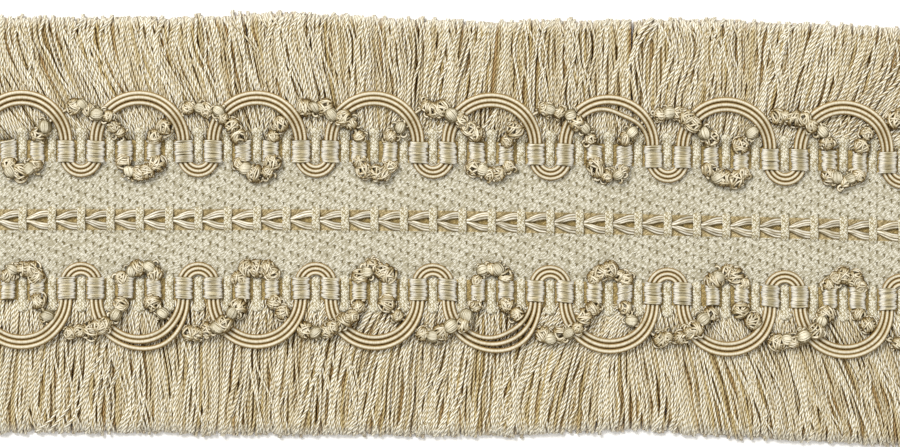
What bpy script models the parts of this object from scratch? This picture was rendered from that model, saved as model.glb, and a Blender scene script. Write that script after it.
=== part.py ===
"""A cut length of fringed braid trim, lying flat. Blender 4.5, metres, +Z up.

X runs along the trim and Y across it, and the underside lies on z = 0. A woven band
carries a row of chevron cords under woven bars down its middle. On each side a satin
binding with ribs holds three gimp cords, which swing out over the fringe in round
arches and back over the band in small loops, and a knotted yarn that swings the other
way. A brush fringe stands out from each edge. The trim drifts a little to one side
along its length, as a soft trim does when it is laid down.
"""

import math
import random

import bmesh
import bpy
from mathutils import Vector

MM = 0.001

# Along the trim.
REPEATS = 8
REPEAT = 32.5 * MM
RIBS = 4 * REPEATS
RIB_PITCH = REPEAT / 4
LENGTH = REPEATS * REPEAT
LEFT_END = -LENGTH / 2
RIGHT_END = LENGTH / 2
FIRST_RIB = LEFT_END + 1.425 * MM
FIRST_LOOP = FIRST_RIB + 3 * RIB_PITCH
FIRST_ARCH = FIRST_LOOP - REPEAT / 2
COLUMNS = 16

# Heights. Pieces that touch in the cloth are parted by GAP in the solids.
GAP = 0.3 * MM
BAND_THICK = 1.2 * MM
STRIP_THICK = 1.8 * MM
LOCK_TOP = 2.0 * MM
REST_ON_BAND = BAND_THICK + GAP
REST_ON_FRINGE = LOCK_TOP + GAP

# Across the trim, measured out from its middle line.
BAND_HALF_WIDTH = 25.0 * MM
BINDING_INNER = 16.0 * MM
BINDING_OUTER = 22.15 * MM
STRIP_INNER = BAND_HALF_WIDTH + GAP
STRIP_OUTER = 27.3 * MM

# The satin binding and its ribs.
RIB_HALF_WIDTH = 1.15 * MM
RIB_TOP = 2.5 * MM
RIB_END = BAND_HALF_WIDTH
BINDING_THICK = 0.5 * MM
PATCH_CEILING = 2.8 * MM
PATCH_SHOULDER = 1.1 * MM
SPRING_HEIGHT = 1.9 * MM

# The gimp cords: arches over the fringe and loops over the band.
CORD_SPACING = 1.25 * MM
CORD_RADIUS = 0.475 * MM
ARCH_RADIUS = 12.1 * MM
LOOP_RADIUS = REPEAT / 2 - ARCH_RADIUS
ARCH_CENTRE = 21.7 * MM
LOOP_CENTRE = 17.6 * MM
ARCH_STEPS = 6
LOOP_STEPS = 4
CORD_LOW = REST_ON_BAND + CORD_RADIUS
CORD_HIGH = REST_ON_FRINGE + CORD_RADIUS
CORD_OVER_YARN = CORD_HIGH + 1.0 * MM

# The knotted yarn, flatter than it is wide.
YARN_FLATNESS = 0.6
NECK_RADIUS = 0.7 * MM
OVER_CORD = CORD_HIGH + CORD_RADIUS + GAP

# The chevron cords and the woven bars that hold them down.
BAR_HALF_WIDTH = 1.0 * MM
BAR_REACH = 3.45 * MM
BAR_FOOT = 0.5 * MM
BAR_SUNK = 0.5 * MM
BAR_THICK = 0.5 * MM
BAR_CLEARANCE = 0.2 * MM
CHEVRON_RADIUS = 0.55 * MM
CHEVRON_FLATNESS = 0.8
CHEVRON_NEAR = 0.75 * MM
CHEVRON_FAR = 2.1 * MM
CHEVRON_HEIGHT = REST_ON_BAND + CHEVRON_RADIUS * CHEVRON_FLATNESS
BAR_UNDERSIDE = CHEVRON_HEIGHT + CHEVRON_RADIUS * CHEVRON_FLATNESS + GAP
BAR_TOP = BAR_UNDERSIDE + BAR_THICK

# The fringe: locks of yarn, three-sided, flat on the floor. Each one is sunk in the
# strip at its root, bows a little, curls out more the further it goes, and tapers.
LOCKS = 10 * REPEATS
LOCK_SUNK = 0.8 * MM
LOCK_ROOT = STRIP_OUTER - LOCK_SUNK
LOCK_ROOT_TOP = STRIP_THICK - 0.2 * MM
LOCK_ROOM = 0.35 * MM
LOCK_BOW = 0.06
LOCK_BOW_WAVE = 9 * MM
LOCK_CURL = 1.15
LOCK_RAGGED = 0.6 * MM
LOCK_LOWEST = 0.8
LOCK_TIP_SHARE = 0.82

# The drift of the middle line to one side.
DRIFT_FROM = -52 * MM
DRIFT_LENGTH = 170 * MM
DRIFT = 3.06 * MM
DRIFT_POWER = 1.6

# How the fringe lies: the place along the trim, the lean of the locks there towards
# the left end in degrees, and their reach from the middle line, both in millimetres.
FRINGE_TABLE = {
    "upper": [
        {"along": -130, "lean": 25, "reach": 55.6},
        {"along": -90, "lean": 23, "reach": 55.8},
        {"along": -60, "lean": 17, "reach": 55.9},
        {"along": -42, "lean": 15, "reach": 57.2},
        {"along": -20, "lean": 3, "reach": 56.0},
        {"along": 2, "lean": -5, "reach": 55.0},
        {"along": 30, "lean": 1, "reach": 55.8},
        {"along": 68, "lean": -2, "reach": 57.0},
        {"along": 96, "lean": -17, "reach": 56.4},
        {"along": 130, "lean": -27, "reach": 55.2},
    ],
    "lower": [
        {"along": -130, "lean": 3, "reach": 58.6},
        {"along": -80, "lean": 0, "reach": 58.7},
        {"along": -52, "lean": 5, "reach": 59.3},
        {"along": -20, "lean": 9, "reach": 59.2},
        {"along": 8, "lean": 10, "reach": 59.2},
        {"along": 34, "lean": 14, "reach": 58.6},
        {"along": 50, "lean": 3, "reach": 57.4},
        {"along": 64, "lean": -17, "reach": 57.6},
        {"along": 96, "lean": -18, "reach": 58.8},
        {"along": 130, "lean": -16, "reach": 59.8},
    ],
}

# One repeat of the knotted yarn, from the centre of an arch: its place along and
# across in millimetres, its half width there, and what it lies on.
YARN_TABLE = [
    {"along": -4.06, "across": 21.6, "half": 0.8, "on": "band"},
    {"along": -4.06, "across": 16.4, "half": 0.8, "on": "band"},
    {"along": -2.9, "across": 13.8, "half": 1.7, "on": "band"},
    {"along": 0.4, "across": 13.0, "half": 1.8, "on": "band"},
    {"along": 3.4, "across": 13.9, "half": 1.6, "on": "band"},
    {"along": 4.06, "across": 16.4, "half": 0.8, "on": "band"},
    {"along": 4.06, "across": 21.6, "half": 0.8, "on": "band"},
    {"along": 5.2, "across": 24.8, "half": 1.4, "on": "edge"},
    {"along": 8.0, "across": 27.5, "half": 0.5, "on": "fringe"},
    {"along": 11.9, "across": 30.8, "half": 0.5, "on": "fringe"},
    {"along": 14.0, "across": 32.2, "half": 1.7, "on": "fringe"},
    {"along": 17.2, "across": 32.7, "half": 1.8, "on": "fringe"},
    {"along": 19.9, "across": 31.5, "half": 1.6, "on": "fringe"},
    {"along": 22.5, "across": 28.1, "half": 1.4, "on": "cords"},
    {"along": 26.6, "across": 25.0, "half": 1.4, "on": "edge"},
]
KNOT_LEAST = 1.1
LIES_AT = {
    "band": REST_ON_BAND,
    "edge": STRIP_THICK + GAP,
    "fringe": REST_ON_FRINGE,
    "cords": OVER_CORD,
}

COLOURS = {
    "ground": (0.66, 0.60, 0.44),
    "satin": (0.72, 0.66, 0.50),
    "gimp": (0.74, 0.66, 0.48),
    "knot": (0.70, 0.64, 0.47),
    "fringe": (0.68, 0.60, 0.42),
}
SIDES = {"upper": 1, "lower": -1}


def clear_scene():
    """Removes the startup objects."""
    for obj in list(bpy.data.objects):
        bpy.data.objects.remove(obj, do_unlink=True)


def new_collection(name):
    """Adds a collection to the scene."""
    made = bpy.data.collections.new(name)
    bpy.context.scene.collection.children.link(made)
    return made


def yarn_material(name, roughness):
    """A plain finish in the yarn's own colour."""
    made = bpy.data.materials.new(name)
    made.use_nodes = True
    shader = made.node_tree.nodes["Principled BSDF"]
    shader.inputs["Base Color"].default_value = (*COLOURS[name], 1)
    shader.inputs["Roughness"].default_value = roughness
    shader.inputs["Metallic"].default_value = 0
    return made


def drift(x):
    """How far the middle line has drifted towards -Y at this place along the trim."""
    share = max(0.0, (x - DRIFT_FROM) / DRIFT_LENGTH)
    return DRIFT * share**DRIFT_POWER


def read_table(rows, column, along):
    """The column's value at a place along the trim, in straight steps between rows."""
    if along <= rows[0]["along"]:
        return rows[0][column]
    for before, after in zip(rows, rows[1:]):
        if along <= after["along"]:
            share = (along - before["along"]) / (after["along"] - before["along"])
            return before[column] + share * (after[column] - before[column])
    return rows[-1][column]


def object_from(bm, name, collection, material):
    """Ends a bmesh as an object whose points have drifted with the trim."""
    bmesh.ops.recalc_face_normals(bm, faces=bm.faces)
    for point in bm.verts:
        point.co.y -= drift(point.co.x)
    mesh = bpy.data.meshes.new(name)
    bm.to_mesh(mesh)
    bm.free()
    mesh.materials.append(material)
    made = bpy.data.objects.new(name, mesh)
    collection.objects.link(made)
    return made


def add_block(bm, low, high, steps=1):
    """A box from its low to its high corner, cut into equal steps along X."""
    made = bmesh.ops.create_cube(bm, size=1)["verts"]
    size = [h - l for l, h in zip(low, high)]
    bmesh.ops.scale(bm, vec=size, verts=made)
    bmesh.ops.translate(bm, vec=[(l + h) / 2 for l, h in zip(low, high)], verts=made)
    if steps == 1:
        return
    along = {edge for point in made for edge in point.link_edges}
    along = [e for e in along if abs(e.verts[0].co.x - e.verts[1].co.x) > size[0] / 2]
    bmesh.ops.subdivide_edges(bm, edges=along, cuts=steps - 1, use_grid_fill=True)


def keep_as_helper(obj, helpers):
    """Leaves an object out of the build and of any render."""
    for collection in list(obj.users_collection):
        collection.objects.unlink(obj)
    helpers.objects.link(obj)
    obj.hide_render = True
    obj.display_type = "WIRE"


def join_with(obj, other, helpers):
    """Fuses another object into this one with an exact union."""
    keep_as_helper(other, helpers)
    union = obj.modifiers.new("join", "BOOLEAN")
    union.operation = "UNION"
    union.object = other


def rib_places():
    """Where the ribs and bars stand along the trim."""
    return [FIRST_RIB + k * RIB_PITCH for k in range(RIBS)]


def push_faces(bm, faces, push):
    """Pushes faces out into a solid. Returns them where they have moved to."""
    pushed = bmesh.ops.extrude_face_region(bm, geom=faces)["geom"]
    points = [item for item in pushed if isinstance(item, bmesh.types.BMVert)]
    bmesh.ops.translate(bm, vec=push, verts=points)
    return [item for item in pushed if isinstance(item, bmesh.types.BMFace)]


def make_band(parts, helpers, material):
    """The woven band, with the bars that bridge the chevron cords fused to it."""
    bm = bmesh.new()
    add_block(
        bm,
        (LEFT_END, -BAND_HALF_WIDTH, 0),
        (RIGHT_END, BAND_HALF_WIDTH, BAND_THICK),
        steps=COLUMNS,
    )
    band = object_from(bm, "ground_band", parts, material)
    profile = [
        (-BAR_REACH, BAND_THICK - BAR_SUNK),
        (-BAR_REACH, BAR_TOP),
        (BAR_REACH, BAR_TOP),
        (BAR_REACH, BAND_THICK - BAR_SUNK),
        (BAR_REACH - BAR_FOOT, BAND_THICK - BAR_SUNK),
        (BAR_REACH - BAR_FOOT, BAR_UNDERSIDE),
        (-BAR_REACH + BAR_FOOT, BAR_UNDERSIDE),
        (-BAR_REACH + BAR_FOOT, BAND_THICK - BAR_SUNK),
    ]
    bars = bmesh.new()
    for x in rib_places():
        corners = [bars.verts.new((x - BAR_HALF_WIDTH, y, z)) for y, z in profile]
        push_faces(bars, [bars.faces.new(corners)], (2 * BAR_HALF_WIDTH, 0, 0))
    join_with(band, object_from(bars, "centre_bars", parts, material), helpers)


def binding_columns():
    """The binding's section along the trim, as a place and the heights there. A rib
    stands on the band, and the satin patches that bridge the cords spring from it.
    The last patch ends at the trim's cut."""
    rib = (REST_ON_BAND, SPRING_HEIGHT, RIB_TOP)
    patch = (PATCH_CEILING, PATCH_CEILING + BINDING_THICK)
    columns = []
    for x in rib_places():
        left, right = x - RIB_HALF_WIDTH, x + RIB_HALF_WIDTH
        if columns:
            columns.append((left - PATCH_SHOULDER, patch))
        columns += [(left, rib), (right, rib), (right + PATCH_SHOULDER, patch)]
    return [*columns, (RIGHT_END, patch)]


def make_binding(side, parts, material):
    """The satin binding of one border, with its ribs reaching out to the band's edge."""
    sign = SIDES[side]
    bm = bmesh.new()
    columns = []
    for x, heights in binding_columns():
        columns.append([bm.verts.new((x, sign * BINDING_INNER, z)) for z in heights])
    for left, right in zip(columns, columns[1:]):
        shared = min(len(left), len(right))
        bm.faces.new(left[-shared:] + right[-shared:][::-1])
    reach = sign * (BINDING_OUTER - BINDING_INNER)
    outer = push_faces(bm, bm.faces[:], (0, reach, 0))
    rib_ends = [face for face in outer if len(face.verts) > 4]
    push_faces(bm, rib_ends, (0, sign * (RIB_END - BINDING_OUTER), 0))
    bmesh.ops.delete(bm, geom=rib_ends, context="FACES_ONLY")
    object_from(bm, f"binding_{side}", parts, material)


def tube(name, points, radii, flatness, parts, material):
    """A four-sided tube through points of the trim, as a curve object."""
    curve = bpy.data.curves.new(name, "CURVE")
    curve.dimensions = "3D"
    curve.twist_mode = "Z_UP"
    curve.bevel_depth = 1
    curve.bevel_resolution = 0
    curve.use_fill_caps = True
    spline = curve.splines.new("POLY")
    spline.points.add(len(points) - 1)
    for target, (x, y, z), radius in zip(spline.points, points, radii):
        target.co = (x, y - drift(x), z / flatness, 1)
        target.radius = radius
    curve.materials.append(material)
    made = bpy.data.objects.new(name, curve)
    made.scale.z = flatness
    parts.objects.link(made)


def gimp_path(sign, offset):
    """The middle line of one gimp cord from cut end to cut end. The offset is how far
    outside the middle cord it runs on the arches, and so inside it on the loops."""
    arch, loop = ARCH_RADIUS + offset, LOOP_RADIUS - offset
    heights = [CORD_LOW, CORD_HIGH, CORD_HIGH, CORD_HIGH]
    heights += [CORD_OVER_YARN, CORD_OVER_YARN, CORD_LOW]
    points = []
    for k in range(REPEATS + 1):
        centre = FIRST_ARCH + k * REPEAT
        for step, z in enumerate(heights):
            turn = math.pi * (1 - step / ARCH_STEPS)
            x = centre + arch * math.cos(turn)
            points.append(Vector((x, ARCH_CENTRE + arch * math.sin(turn), z)))
        for step in range(LOOP_STEPS + 1):
            turn = math.pi * (1 + step / LOOP_STEPS)
            x = centre + REPEAT / 2 + loop * math.cos(turn)
            points.append(Vector((x, LOOP_CENTRE + loop * math.sin(turn), CORD_LOW)))
    points = cut_to_length(points)
    return [(p.x, sign * p.y, p.z) for p in points]


def cut_to_length(points):
    """The path between the trim's two cut ends, each cut made on the end's line."""
    inside = [LEFT_END <= p.x <= RIGHT_END for p in points]
    first = inside.index(True)
    last = len(points) - 1 - inside[::-1].index(True)
    ends = ((points[first - 1], points[first], LEFT_END),)
    ends += ((points[last + 1], points[last], RIGHT_END),)
    start, end = [a.lerp(b, (at - a.x) / (b.x - a.x)) for a, b, at in ends]
    return [start, *points[first : last + 1], end]


def make_gimp_cords(side, parts, material):
    """The three gimp cords of one border, side by side."""
    offsets = {"outer": CORD_SPACING, "middle": 0, "inner": -CORD_SPACING}
    for place, offset in offsets.items():
        points = gimp_path(SIDES[side], offset)
        radii = [CORD_RADIUS] * len(points)
        tube(f"gimp_{side}_{place}", points, radii, 1, parts, material)


def yarn_stations():
    """Places along the knotted yarn for all repeats, with a thin neck between knots."""
    stations = []
    for k in range(-1, REPEATS + 1):
        for row in YARN_TABLE:
            half = row["half"] * MM
            x = FIRST_ARCH + k * REPEAT + row["along"] * MM
            z = LIES_AT[row["on"]] + half * YARN_FLATNESS
            place = Vector((x, row["across"] * MM, z))
            is_knot = row["half"] >= KNOT_LEAST
            if stations and is_knot and stations[-1][2]:
                neck = stations[-1][0].lerp(place, 0.5)
                stations.append((neck, NECK_RADIUS, False))
            stations.append((place, half, is_knot))
    return [
        (place, half)
        for place, half, _ in stations
        if place.x - half > LEFT_END and place.x + half < RIGHT_END
    ]


def make_knot_yarn(side, parts, material):
    """The knotted yarn of one border."""
    stations = yarn_stations()
    points = [(p.x, SIDES[side] * p.y, p.z) for p, _ in stations]
    radii = [half for _, half in stations]
    tube(f"knot_yarn_{side}", points, radii, YARN_FLATNESS, parts, material)


def make_chevron_cord(side, parts, material):
    """One half of the centre chevrons. It spreads away from the middle between two
    bars, and comes back to the middle under the next bar."""
    points = []
    reach = BAR_HALF_WIDTH + BAR_CLEARANCE
    for x in rib_places():
        points.append((x - reach, CHEVRON_FAR, CHEVRON_HEIGHT))
        points.append((x + reach, CHEVRON_NEAR, CHEVRON_HEIGHT))
    points[0] = (LEFT_END, CHEVRON_FAR, CHEVRON_HEIGHT)
    points.append((RIGHT_END, CHEVRON_FAR, CHEVRON_HEIGHT))
    points = [(x, SIDES[side] * y, z) for x, y, z in points]
    radii = [CHEVRON_RADIUS] * len(points)
    tube(f"chevron_cord_{side}", points, radii, CHEVRON_FLATNESS, parts, material)


def lock_line(side, root_x, ragged):
    """The middle of one lock at its root, half way and tip, before the drift."""
    rows = FRINGE_TABLE[side]
    lean = math.radians(read_table(rows, "lean", root_x / MM))
    reach = read_table(rows, "reach", root_x / MM) * MM + ragged
    long = reach - LOCK_ROOT
    bow = LOCK_BOW * long * math.sin(root_x / LOCK_BOW_WAVE)
    places = []
    for share in (0, 0.5, 1):
        sway = -math.tan(lean) * share**LOCK_CURL * long + bow * share * (1 - share)
        places.append(Vector((root_x + sway, LOCK_ROOT + share * long, 0)))
    return places


def add_lock(bm, places, widths, heights, sign):
    """A lock with a flat underside and a ridge on top, lying level on the floor."""
    rings = []
    for place, wide, high in zip(places, widths, heights):
        corners = ((-wide / 2, 0), (wide / 2, 0), (0, high))
        ring = [bm.verts.new((place.x + x, sign * place.y, z)) for x, z in corners]
        rings.append(ring)
    for before, after in zip(rings, rings[1:]):
        for k in range(3):
            n = (k + 1) % 3
            bm.faces.new((before[k], before[n], after[n], after[k]))
    bm.faces.new(rings[0])
    bm.faces.new(rings[-1])


def make_fringe(side, parts, helpers, material):
    """A brush fringe: its locks fused at their roots into a narrow woven strip."""
    sign = SIDES[side]
    low, high = sorted((sign * STRIP_INNER, sign * STRIP_OUTER))
    bm = bmesh.new()
    add_block(bm, (LEFT_END, low, 0), (RIGHT_END, high, STRIP_THICK), steps=COLUMNS)
    fringe = object_from(bm, f"fringe_{side}", parts, material)
    rng = random.Random(f"fringe {side}")
    pitch = LENGTH / LOCKS
    roots = [LEFT_END + (k + 0.5) * pitch for k in range(LOCKS)]
    lines = [lock_line(side, x, rng.uniform(-LOCK_RAGGED, LOCK_RAGGED)) for x in roots]
    locks = bmesh.new()
    for k, line in enumerate(lines):
        widths = []
        for ring, place in enumerate(line):
            near = [lines[j][ring].x for j in (k - 1, k + 1) if 0 <= j < LOCKS]
            room = min(abs(place.x - x) for x in near) - LOCK_ROOM
            widths.append(min(room, pitch - LOCK_ROOM))
        widths[-1] *= LOCK_TIP_SHARE
        middle, tip = (LOCK_TOP * rng.uniform(LOCK_LOWEST, 1) for _ in range(2))
        heights = (LOCK_ROOT_TOP, middle, tip * LOCK_TIP_SHARE)
        add_lock(locks, line, widths, heights, sign)
    join_with(fringe, object_from(locks, f"locks_{side}", parts, material), helpers)


def stand_on_origin(parts):
    """Moves the trim so that its box is centred on the origin, bottom on z = 0."""
    bpy.context.view_layer.update()
    graph = bpy.context.evaluated_depsgraph_get()
    points = []
    for obj in parts.objects:
        shown = obj.evaluated_get(graph)
        mesh = shown.to_mesh()
        points += [shown.matrix_world @ v.co for v in mesh.vertices]
        shown.to_mesh_clear()
    middle = [(min(p[k] for p in points) + max(p[k] for p in points)) / 2 for k in (0, 1)]
    frame = bpy.data.objects.new("trim_frame", None)
    parts.objects.link(frame)
    frame.location = (-middle[0], -middle[1], 0)
    return frame


def main():
    clear_scene()
    parts = new_collection("fringed_braid_trim")
    helpers = new_collection("union_pieces")
    ground = yarn_material("ground", 0.85)
    satin = yarn_material("satin", 0.4)
    gimp = yarn_material("gimp", 0.45)
    knot = yarn_material("knot", 0.6)
    fringe = yarn_material("fringe", 0.6)
    make_band(parts, helpers, ground)
    for side in SIDES:
        make_binding(side, parts, satin)
        make_gimp_cords(side, parts, gimp)
        make_knot_yarn(side, parts, knot)
        make_chevron_cord(side, parts, gimp)
        make_fringe(side, parts, helpers, fringe)
    frame = stand_on_origin(parts)
    for obj in (*parts.objects, *helpers.objects):
        if obj is not frame:
            obj.parent = frame


main()
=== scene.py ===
"""Looks of the fringed braid trim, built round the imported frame.

The trim lies flat. X runs along it, Y across it and Z up out of its decorated face.
Places on it are given in millimetres: along it from the middle of its length, across
it from its middle line, and up from the floor. Trim.place turns them into metres.
"""

from __future__ import annotations

import logging
import random
from collections.abc import Callable, Iterable, Sequence
from dataclasses import dataclass, field
from enum import Enum
from functools import cached_property, partial
from math import atan2, cos, pi, radians, sin, sqrt, tan

import bpy
import numpy as np
from bpy.types import Material, Mesh, Node, NodeSocket, NodeTree, Object
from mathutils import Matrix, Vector

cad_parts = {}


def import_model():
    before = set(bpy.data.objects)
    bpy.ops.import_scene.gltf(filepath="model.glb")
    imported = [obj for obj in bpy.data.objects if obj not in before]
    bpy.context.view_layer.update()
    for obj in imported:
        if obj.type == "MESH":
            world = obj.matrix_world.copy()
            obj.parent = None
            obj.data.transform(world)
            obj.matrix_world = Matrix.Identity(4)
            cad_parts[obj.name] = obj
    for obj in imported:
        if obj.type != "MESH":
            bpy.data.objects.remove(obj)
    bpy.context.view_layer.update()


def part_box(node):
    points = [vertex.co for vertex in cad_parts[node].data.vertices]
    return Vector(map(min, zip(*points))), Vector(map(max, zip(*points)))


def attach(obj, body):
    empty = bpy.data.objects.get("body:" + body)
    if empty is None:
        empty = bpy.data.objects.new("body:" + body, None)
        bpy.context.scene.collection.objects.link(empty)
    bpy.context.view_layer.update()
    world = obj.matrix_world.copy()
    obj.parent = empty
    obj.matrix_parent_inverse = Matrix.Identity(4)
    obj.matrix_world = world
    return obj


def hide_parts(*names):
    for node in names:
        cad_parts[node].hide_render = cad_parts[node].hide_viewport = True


log = logging.getLogger("braid_trim")

Numbers = np.ndarray | float
Route = tuple[tuple[float, float, float], ...]
Stops = tuple[tuple[float, str], ...]
Adder = Callable[..., Node]

MM = 0.001
REPEATS = 8
REPEAT = 32.5
RIB_PITCH = REPEAT / 4
HALF_LENGTH = REPEATS * REPEAT / 2
FIRST_RIB = 1.425 - HALF_LENGTH
FIRST_ARCH = FIRST_RIB + RIB_PITCH
RIB_PLACES = tuple(FIRST_RIB + k * RIB_PITCH for k in range(4 * REPEATS))
HALF_WIDTH = 25.0
BAND_TOP = 1.2
CENTRE_ROW = 3.0
BORDER_START = 16.0

MIXED = {"data_type": "RGBA"}
MULTIPLIED = {"data_type": "RGBA", "blend_type": "MULTIPLY"}


class Side(Enum):
    """The two borders of the trim, by the sign of their distance across it."""

    UPPER = 1
    LOWER = -1


@dataclass(frozen=True)
class Trim:
    """How the trim lies on the floor.

    Attributes:
        middle_x: The middle of its length, in millimetres.
        start_y: Its middle line at the left end, in millimetres.
        end_drift: How far the middle line has drifted to -Y at the right end.
        drift_from: The place along the trim where the drift starts.
        drift_power: How the drift grows from there.
    """

    middle_x: float
    start_y: float
    end_drift: float
    drift_from: float = -52.0
    drift_power: float = 1.6

    @classmethod
    def from_frame(cls) -> Trim:
        """Reads the lie of the trim from the box of its woven band."""
        low, high = (Vector(corner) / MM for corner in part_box("ground_band"))
        return cls((low.x + high.x) / 2, high.y - HALF_WIDTH, high.y - low.y - 2 * HALF_WIDTH)

    def drift(self, along: Numbers) -> np.ndarray:
        """The middle line's drift at places along the trim."""
        share = (np.asarray(along) - self.drift_from) / (HALF_LENGTH - self.drift_from)
        return self.end_drift * np.clip(share, 0, None) ** self.drift_power

    def place(self, along: Numbers, across: Numbers, height: Numbers) -> np.ndarray:
        """Places on the trim as points of the frame.

        Args:
            along: Millimetres from the middle of the trim's length.
            across: Millimetres from its middle line, towards +Y.
            height: Millimetres above the floor.

        Returns:
            The points in metres, one a row.
        """
        parts = (self.middle_x + along, self.start_y - self.drift(along) + across, height)
        return np.stack(np.broadcast_arrays(*parts), axis=-1) * MM


def select_only(*objects: Object) -> None:
    """Selects these objects and nothing else.

    Args:
        objects: The objects, of which the first becomes the active one.
    """
    bpy.ops.object.select_all(action="DESELECT")
    for obj in objects:
        obj.select_set(True)
    bpy.context.view_layer.objects.active = objects[0]


def smooth_route(route: Sequence[Sequence[float]], steps: int) -> np.ndarray:
    """Rows of numbers along a smooth curve through a route's own rows.

    Args:
        route: The route's rows, all of the same length.
        steps: How many rows to give for each stretch between two of them.

    Returns:
        The curve's rows, ends included.
    """
    knots = np.array([route[0], *route, route[-1]], dtype=float)
    t = (np.arange(steps) / steps)[:, None]
    made = []
    for a, b, c, d in zip(knots, knots[1:], knots[2:], knots[3:]):
        bend = (2 * a - 5 * b + 4 * c - d) * t**2 + (3 * b - a - 3 * c + d) * t**3
        made.append(b + 0.5 * ((c - a) * t + bend))
    return np.vstack([*made, knots[-1:]])


@dataclass
class YarnBundle:
    """Many yarns made as one mesh, each a closed tube.

    Its UV map "yarn" gives millimetres along the yarn and turns round it. Its point
    attribute "tint" gives each yarn a number of its own, from 0 to 1.
    """

    name: str
    rounding: int = 1
    runs: list[tuple[np.ndarray, np.ndarray, float]] = field(default_factory=list)

    @property
    def sides(self) -> int:
        """How many sides each tube has."""
        return 4 + 2 * self.rounding

    def add(self, points: np.ndarray, radius: Numbers, tint: float) -> None:
        """Adds one yarn.

        Args:
            points: Its middle line in metres, one point a row.
            radius: Its radius in millimetres, one for all or one a point.
            tint: Its own number, from 0 to 1.
        """
        self.runs.append((points, np.broadcast_to(radius, len(points)) * MM, tint))

    def build(self, finish: Finish) -> Object:
        """Turns the yarns into one mesh object.

        Args:
            finish: The finish that they all take.

        Returns:
            The object, at the origin.
        """
        curve = bpy.data.curves.new(self.name, "CURVE")
        curve.dimensions = "3D"
        curve.bevel_depth = 1.0
        curve.bevel_resolution = self.rounding
        curve.twist_mode = "Z_UP"
        for points, radii, _ in self.runs:
            spline = curve.splines.new("POLY")
            spline.points.add(len(points) - 1)
            rows = np.column_stack([points, np.ones(len(points))])
            spline.points.foreach_set("co", rows.ravel())
            spline.points.foreach_set("radius", radii)
        yarns = bpy.data.objects.new(self.name, curve)
        bpy.context.scene.collection.objects.link(yarns)
        select_only(yarns)
        bpy.ops.object.convert(target="MESH")
        self.measure(yarns.data)
        self.close_ends()
        yarns.data.materials.append(finish.material)
        bpy.ops.object.shade_smooth()
        return yarns

    def measure(self, mesh: Mesh) -> None:
        """Writes the UV map in millimetres and the tint of each yarn.

        Args:
            mesh: The yarns' mesh.
        """
        counts = np.array([len(points) for points, _, _ in self.runs]) * self.sides
        owner = np.repeat(np.arange(len(self.runs)), counts)
        steps = [np.diff(points, axis=0) for points, _, _ in self.runs]
        lengths = np.array([np.linalg.norm(step, axis=1).sum() / MM for step in steps])
        corners = np.empty(len(mesh.loops), dtype=np.int32)
        mesh.loops.foreach_get("vertex_index", corners)
        layer = mesh.uv_layers[0]
        layer.name = "yarn"
        uv = np.empty(2 * len(corners))
        layer.data.foreach_get("uv", uv)
        uv[0::2] *= lengths[owner[corners]]
        layer.data.foreach_set("uv", uv)
        tint = mesh.attributes.new("tint", "FLOAT", "POINT")
        tint.data.foreach_set("value", np.array([t for _, _, t in self.runs])[owner])

    def close_ends(self) -> None:
        """Fills the open ends of all the tubes."""
        bpy.ops.object.mode_set(mode="EDIT")
        bpy.ops.mesh.select_mode(type="VERT")
        bpy.ops.mesh.select_all(action="DESELECT")
        bpy.ops.mesh.select_non_manifold()
        bpy.ops.mesh.fill_holes(sides=self.sides)
        bpy.ops.object.mode_set(mode="OBJECT")


def linear(code: str) -> tuple[float, float, float, float]:
    """An sRGB hex value such as "#E8DFC6" as a linear colour."""
    parts = [int(code[k : k + 2], 16) / 255 for k in (1, 3, 5)]
    return (*(c / 12.92 if c <= 0.04045 else ((c + 0.055) / 1.055) ** 2.4 for c in parts), 1.0)


def result(node: Node) -> NodeSocket:
    """A node's main output."""
    return next(socket for socket in node.outputs if socket.enabled)


def add_node(
    tree: NodeTree,
    kind: str,
    inputs: dict[int | str, object] | tuple[object, ...] = (),
    stops: Stops = (),
    **settings: object,
) -> Node:
    """Adds a shader node.

    Args:
        tree: The node tree.
        kind: The node's type name, without its first word ShaderNode, and its
            operation where it has a choice of them.
        inputs: A value, an output or a node for each input, in order or by its name
            or number. A node stands for its main output.
        stops: The places and sRGB colours of a colour ramp.
        settings: The node's own settings.

    Returns:
        The node.
    """
    kind, _, operation = kind.partition(" ")
    node = tree.nodes.new(f"ShaderNode{kind}")
    if operation:
        node.operation = operation
    for name, value in settings.items():
        setattr(node, name, value)
    given = inputs if isinstance(inputs, dict) else dict(enumerate(inputs))
    for key, value in given.items():
        if isinstance(value, Node):
            value = result(value)
        if isinstance(value, NodeSocket):
            tree.links.new(value, node.inputs[key])
        else:
            node.inputs[key].default_value = value
    for k, (position, code) in enumerate(stops):
        ramp = node.color_ramp
        stop = ramp.elements[k] if k < 2 else ramp.elements.new(position)
        stop.position = position
        stop.color = linear(code)
    return node


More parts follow.
